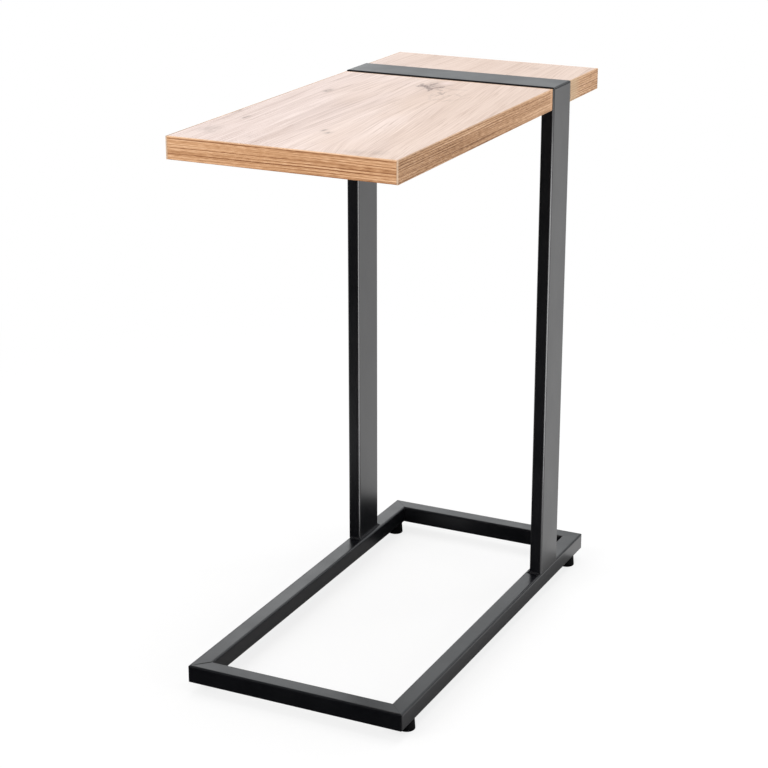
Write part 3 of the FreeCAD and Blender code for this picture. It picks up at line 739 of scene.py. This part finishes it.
def turned(name, profile, place, material):
    """A closed profile of (radius, height) points turned about Z; a radius of zero closes it."""
    verts, rings = [], []
    for radius, height in profile:
        if radius == 0:
            rings.append([len(verts)] * TURNED_SIDES)
            verts.append((0.0, 0.0, height))
            continue
        rings.append([len(verts) + step for step in range(TURNED_SIDES)])
        verts += [(*round_about(radius, step, TURNED_SIDES), height) for step in range(TURNED_SIDES)]
    faces = []
    for low, high in zip(rings, rings[1:] + rings[:1]):
        for step in range(TURNED_SIDES):
            following = (step + 1) % TURNED_SIDES
            corners = [low[step], low[following], high[following], high[step]]
            face = list(dict.fromkeys(corners))
            if len(face) > 2:
                faces.append(face)
    return mesh_piece(name, verts, faces, place, material)


GLIDE_TAPER = 0.0008        # the glide's shoulder is this much narrower than its foot
FOOT_ROUND = 0.0009
SHOULDER_ROUND = 0.0007
ROUND_STEPS = 5


def glide_profile(base, bore, height, floor):
    """A moulded glide: rounded foot, slight taper, rounded shoulder, bore for the stud."""
    top = base - GLIDE_TAPER
    angles = [math.pi / 2 * step / ROUND_STEPS for step in range(ROUND_STEPS + 1)]
    profile = [(0.0, 0.0)]
    for angle in angles:
        profile.append((base - FOOT_ROUND + FOOT_ROUND * math.sin(angle),
                        FOOT_ROUND - FOOT_ROUND * math.cos(angle)))
    for angle in angles:
        profile.append((top - SHOULDER_ROUND + SHOULDER_ROUND * math.cos(angle),
                        height - SHOULDER_ROUND + SHOULDER_ROUND * math.sin(angle)))
    profile += [(bore, height), (bore, floor), (0.0, floor)]
    return profile


THREAD_SIDES = 32
ROWS_PER_TURN = 8
TIP_SHARE = 0.12            # what is left of the radius at the very tip of a thread


def threaded(name, place, length, major, minor, pitch, tip):
    """A zinc plated rod along +Z with a helical thread and a chamfer or point of length tip."""
    rows = round(length / pitch * ROWS_PER_TURN)
    verts = [(0.0, 0.0, 0.0)]
    for row in range(rows + 1):
        height = length * row / rows
        left = min(1.0, (length - height) / tip)
        for step in range(THREAD_SIDES):
            turn = (height / pitch - step / THREAD_SIDES) % 1.0
            crest = 1.0 - abs(2.0 * turn - 1.0)
            radius = (minor + (major - minor) * crest) * (TIP_SHARE + (1.0 - TIP_SHARE) * left)
            verts.append((*round_about(radius, step, THREAD_SIDES), height))
    verts.append((0.0, 0.0, length))
    faces = [(0, 1 + (step + 1) % THREAD_SIDES, 1 + step) for step in range(THREAD_SIDES)]
    for row in range(rows):
        first = 1 + row * THREAD_SIDES
        faces += tube_faces(first, first + THREAD_SIDES, THREAD_SIDES)
    last, end = 1 + rows * THREAD_SIDES, len(verts) - 1
    for step in range(THREAD_SIDES):
        faces.append((last + step, last + (step + 1) % THREAD_SIDES, end))
    return mesh_piece(name, verts, faces, place, plate, smooth_angle=60.0)


HEAD_SIDES = 48
HEAD_RINGS = 14
HEAD_RIM = 0.25             # share of a head's height that its rim takes
CROSS_ARM = 0.62            # half length of the cross recess, in head radii
CROSS_HALF = 0.17           # half width of its arms, in head radii
CROSS_DEPTH = 0.62          # depth at its middle, in head heights
CROSS_RISE = 0.55           # share of that depth lost at the end of an arm


def recess(x, y, radius, height):
    """Depth of the cross recess at one place of a head."""
    arm, half = radius * CROSS_ARM, radius * CROSS_HALF
    on_x = abs(y) < half and abs(x) < arm
    on_y = abs(x) < half and abs(y) < arm
    if not (on_x or on_y):
        return 0.0
    run = min(abs(x), abs(y)) if on_x and on_y else (abs(x) if on_x else abs(y))
    return height * CROSS_DEPTH * (1.0 - CROSS_RISE * run / arm)


def pan_head(name, place, radius, height):
    """A zinc plated, domed screw head below its seat, with a cross recess pressed into it."""
    verts = [(0.0, 0.0, -height + recess(0.0, 0.0, radius, height))]
    for ring in range(1, HEAD_RINGS + 1):
        share = ring / HEAD_RINGS
        curve = math.sqrt(max(0.0, 1.0 - share ** 4))
        dome = height * curve * (1.0 - HEAD_RIM) + height * HEAD_RIM * (ring < HEAD_RINGS)
        for step in range(HEAD_SIDES):
            x, y = round_about(radius * share, step, HEAD_SIDES)
            verts.append((x, y, -dome + recess(x, y, radius, height)))
    faces = [(0, 1 + (step + 1) % HEAD_SIDES, 1 + step) for step in range(HEAD_SIDES)]
    for ring in range(HEAD_RINGS - 1):
        first = 1 + ring * HEAD_SIDES
        faces += tube_faces(first, first + HEAD_SIDES, HEAD_SIDES)
    rim = 1 + (HEAD_RINGS - 1) * HEAD_SIDES
    faces.append([rim + step for step in range(HEAD_SIDES)])
    return mesh_piece(name, verts, faces, place, plate)


STUD_PITCH = 0.001
STUD_THREAD = 0.0005        # depth of the stud's thread
STUD_TIP = 0.0008

for end in ("front", "rear"):
    for side in ("left", "right"):
        low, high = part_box(f"foot_{end}_{side}")
        stud_low, stud_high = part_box(f"foot_stud_{end}_{side}")
        middle = (low + high) / 2
        bore = (stud_high.x - stud_low.x) / 2
        base = (high.x - low.x) / 2
        profile = glide_profile(base, bore, high.z - low.z, stud_low.z - low.z)
        glide = turned(f"glide_{end}_{side}", profile, (middle.x, middle.y, low.z), plastic)
        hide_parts(f"foot_{end}_{side}")
        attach(glide, f"foot_{end}_{side}_body")
        foot_of_stud = (middle.x, middle.y, stud_low.z)
        stud = threaded(f"stud_{end}_{side}", foot_of_stud, stud_high.z - stud_low.z,
                        bore, bore - STUD_THREAD, STUD_PITCH, STUD_TIP)
        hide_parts(f"foot_stud_{end}_{side}")
        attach(stud, f"foot_{end}_{side}_body")

HEAD_RADIUS = 0.004
SHANK_RADIUS = 0.002
SHANK_CORE = SHANK_RADIUS * 0.62
SCREW_PITCH = 0.0018
SCREW_TIP = 0.005

for panel, rows in (("front_panel", 2), ("rear_panel", 1)):
    low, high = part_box(f"{panel}_screws")
    row_step = high.y - low.y - 2 * HEAD_RADIUS
    for row in range(rows):
        y = low.y + HEAD_RADIUS + row * row_step
        for side, x in (("left", low.x + HEAD_RADIUS), ("right", high.x - HEAD_RADIUS)):
            seat = (x, y, SEAT)
            head = pan_head(f"{panel}_screw_head_{side}_{row}", seat, HEAD_RADIUS, SEAT - low.z)
            shank = threaded(f"{panel}_screw_shank_{side}_{row}", seat, high.z - SEAT,
                             SHANK_RADIUS, SHANK_CORE, SCREW_PITCH, SCREW_TIP)
            for piece in (head, shank):
                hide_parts(f"{panel}_screws")
                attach(piece, "table")


# ---------------------------------------------------------------- floor and flags

WHITE = (1.0, 1.0, 1.0, 1.0)
FLOOR_GREY = (0.86, 0.86, 0.86, 1.0)
FLOOR_FADE = (0.40, 1.30)   # the floor turns plain white between these distances from the table
NEAR_WHITE = 0.78           # share of plain white beside the table, which leaves a soft shadow
REACH = 14.0


def sheet(name, corners, material):
    """A flat staged sheet: floor or flag."""
    mesh = bpy.data.meshes.new(name)
    mesh.from_pydata(corners, [], [tuple(range(len(corners)))])
    mesh.materials.append(material)
    piece = bpy.data.objects.new(name, mesh)
    scene.collection.objects.link(piece)
    return piece


def flat(x_low, x_high, y_low, y_high, z):
    """The corners of a level rectangle."""
    return [(x_low, y_low, z), (x_high, y_low, z), (x_high, y_high, z), (x_low, y_high, z)]


def floor_material():
    """Pale floor with a soft shadow near the table; white further off and clear from below."""
    n = new_material("pale_floor")
    x, y, _ = n.split(n.add("ShaderNodeTexCoord").outputs["Object"])
    away = n.math("SQRT", n.plus(n.times(x, x), n.times(y, y)))
    path = n.add("ShaderNodeLightPath").outputs
    seen = n.most(path["Is Camera Ray"], path["Is Glossy Ray"])
    seen = n.most(seen, path["Is Transmission Ray"])
    share = n.times(seen, n.range(away, *FLOOR_FADE, NEAR_WHITE, 1.0))
    diffuse = n.add("ShaderNodeBsdfDiffuse", {"Color": FLOOR_GREY}).outputs[0]
    white = n.add("ShaderNodeEmission", {"Color": WHITE, "Strength": 1.0}).outputs[0]
    clear = n.add("ShaderNodeBsdfTransparent").outputs[0]
    behind = n.add("ShaderNodeNewGeometry").outputs["Backfacing"]
    return n.end(n.mix_shaders(behind, n.mix_shaders(share, diffuse, white), clear))


def cloth(name, tone):
    """Matt cloth of one grey."""
    n = new_material(name)
    shader = n.add("ShaderNodeBsdfDiffuse", {"Color": (tone, tone, tone, 1.0)})
    return n.end(shader.outputs[0])


def flag(name, corners, material):
    """A dark sheet that only reflections see."""
    piece = sheet(name, corners, material)
    piece.visible_camera = False
    piece.visible_diffuse = False
    piece.visible_shadow = False
    piece.visible_transmission = False


black = cloth("black_cloth", 0.01)
# The grey of the painted shadow beside the ring tubes.
grey = cloth("painted_shadow_grey", 0.24)
sheet("floor", flat(-REACH, REACH, -REACH, REACH, 0.0), floor_material())

# Black flags lie before the table and inside its ring, and grey ones along its side tubes, so that the
# steel faces turned to them stay dark. The black flag inside the ring
# and the grey ones are painted shadow: they stand for the table's shadow on the floor, as the steel
# mirrors it. The inner grey one lies on top of the black one.
LIFT = 0.0004               # a flag's height above the sheet below it
BESIDE = 0.045              # width of the grey flag to the right, outside the ring
INSIDE = 0.063              # width of the grey flag to the left, inside the ring
RING_PAST = 0.05            # how far the flags end behind the inside of the rear tube, or before it
RIGHT_PAST = 0.02
LEFT_BEFORE = 0.045
front = RING_LOW.y
rear = RING_INNER_REAR
left = RING_INNER_LEFT
right = RING_HIGH.x
# Name, left, right, front and rear limit, height, cloth.
FLOOR_FLAGS = (
    ("front_flag", -5.0, 0.6, -6.0, front, LIFT, black),
    ("ring_flag", -0.30, right, front, rear + RING_PAST, LIFT, black),
    ("left_flag", left, left + INSIDE, front, rear - LEFT_BEFORE, 2 * LIFT, grey),
    ("right_flag", right, right + BESIDE, front, rear + RIGHT_PAST, LIFT, grey),
)
for name, *limits, material in FLOOR_FLAGS:
    flag(name, flat(*limits), material)

# A dark horizon stands round the studio and hangs higher to the right of the table. A dark ceiling
# hangs over the table, and a dark wall stands before it. The rounded edges mirror them as bands.
HORIZON_SIDES = 48
HORIZON_RADIUS = 4.0
HORIZON_HEIGHT = 1.0
RIGHT_FROM = 0.5            # the horizon is lifted where all of a side lies beyond this x
RIGHT_LIFT = 0.5
CEILING_HALF = 2.6
CEILING_HEIGHT = 3.4
WALL_HALF = 5.0
WALL_Y = -4.2
WALL_LOW, WALL_HIGH = 0.9, 5.4


def upright_sheet(start, finish, low, high):
    """The corners of an upright rectangle over a line from start to finish."""
    return [(*start, low), (*finish, low), (*finish, high), (*start, high)]


for side in range(HORIZON_SIDES):
    start = round_about(HORIZON_RADIUS, side, HORIZON_SIDES)
    finish = round_about(HORIZON_RADIUS, side + 1, HORIZON_SIDES)
    lift = RIGHT_LIFT if min(start[0], finish[0]) > RIGHT_FROM else 0.0
    flag(f"horizon_{side}", upright_sheet(start, finish, lift, lift + HORIZON_HEIGHT), black)

ceiling = flat(-CEILING_HALF, CEILING_HALF, -CEILING_HALF, CEILING_HALF, CEILING_HEIGHT)
flag("ceiling_flag", ceiling, black)
wall = upright_sheet((-WALL_HALF, WALL_Y), (WALL_HALF, WALL_Y), WALL_LOW, WALL_HIGH)
flag("front_wall_flag", wall, black)


# ---------------------------------------------------------------- world and lamps

AMBIENT = 0.50              # strength of the world as a light
MIRRORED_WHITE = (0.95, 0.98, 1.0, 1.0)


def background(n, colour, strength):
    return n.add("ShaderNodeBackground", {"Color": colour, "Strength": strength}).outputs[0]


def studio():
    """Plain white where it is seen, almost white where it is mirrored, weaker as a light."""
    n = Nodes(bpy.data.worlds.new("studio"))
    path = n.add("ShaderNodeLightPath").outputs
    seen = n.most(path["Is Camera Ray"], path["Is Transmission Ray"])
    plain = n.mix_shaders(seen, background(n, WHITE, AMBIENT), background(n, WHITE, 1.0))
    choice = n.mix_shaders(path["Is Glossy Ray"], plain, background(n, MIRRORED_WHITE, 1.0))
    return n.end(choice, "ShaderNodeOutputWorld")


scene.world = studio()


def lamp(name, place, aim, width, height, power):
    """A rectangular area lamp at place that faces aim, with its power in watts."""
    data = bpy.data.lights.new(name, "AREA")
    data.shape = "RECTANGLE"
    data.size = width
    data.size_y = height
    data.energy = power
    light = bpy.data.objects.new(name, data)
    scene.collection.objects.link(light)
    light.location = place
    light.rotation_euler = (Vector(aim) - Vector(place)).to_track_quat("-Z", "Y").to_euler()
    light.visible_camera = False
    return light


# Name, place, aim, width, height, power. The first lamps aren't mirrored, the next ones are.
UNSEEN_LAMPS = (
    ("key_softbox", (-1.3, -3.3, 2.5), (0.0, 0.0, 0.45), 2.2, 2.2, 93.0),
    ("top_softbox", (0.2, 0.4, 3.2), (0.0, 0.0, 0.3), 2.6, 2.6, 68.0),
    ("side_strip", (2.2, -0.5, 0.8), (0.0, 0.0, 0.35), 0.25, 1.2, 10.0),
    ("kicker", (1.35, 1.3, 0.45), (0.0, 0.0, 0.45), 0.4, 0.9, 9.0),
)
MIRRORED_LAMPS = (
    ("rear_softbox", (-1.3, 1.95, 1.18), (-0.1, 0.1, 0.1), 0.5, 0.6, 0.85),
    ("low_softbox", (-0.45, 1.05, 0.36), (-0.05, 0.2, 0.03), 0.5, 0.15, 0.24),
)
# Broad dim lamps that only the uprights mirror, as a light line along their front corners; the last
# entry names the uprights that each is linked to.
EDGE_LAMPS = (
    ("edge_panel", (0.42, -0.19, 0.24), (-0.05, -0.19, 0.24), 0.60, 0.46, 4.6, ("left", "right")),
    ("edge_sheet", (0.20, -0.19, 0.004), (0.20, -0.19, 1.0), 0.40, 0.60, 4.2, ("left",)),
)
for settings in UNSEEN_LAMPS:
    lamp(*settings).visible_glossy = False
for settings in MIRRORED_LAMPS:
    lamp(*settings)
for *settings, sides in EDGE_LAMPS:
    light = lamp(*settings)
    light.visible_diffuse = False
    lit = bpy.data.collections.new(f"{light.name}_lit")
    for side in sides:
        lit.objects.link(nodes[f"upright_{side}"])
    light.light_linking.receiver_collection = lit


# ---------------------------------------------------------------- camera

# It stands to the front right of the table and looks down on it; lens and sensor in millimetres.
CAMERA_PLACE = (0.9057, -1.9048, 1.0163)
CAMERA_YAW = math.radians(25.866)
CAMERA_PITCH = math.radians(19.024)
CAMERA_LENS = 94.80
CAMERA_SENSOR = 36.0
CAMERA_SIGHT = 100.0

camera_data = bpy.data.cameras.new("camera")
camera_data.lens = CAMERA_LENS
camera_data.sensor_width = CAMERA_SENSOR
camera_data.clip_end = CAMERA_SIGHT
camera = bpy.data.objects.new("camera", camera_data)
scene.collection.objects.link(camera)
camera.location = CAMERA_PLACE
camera.rotation_euler = Euler((math.pi / 2 - CAMERA_PITCH, 0.0, CAMERA_YAW))
scene.camera = camera

scene.view_settings.view_transform = "Standard"
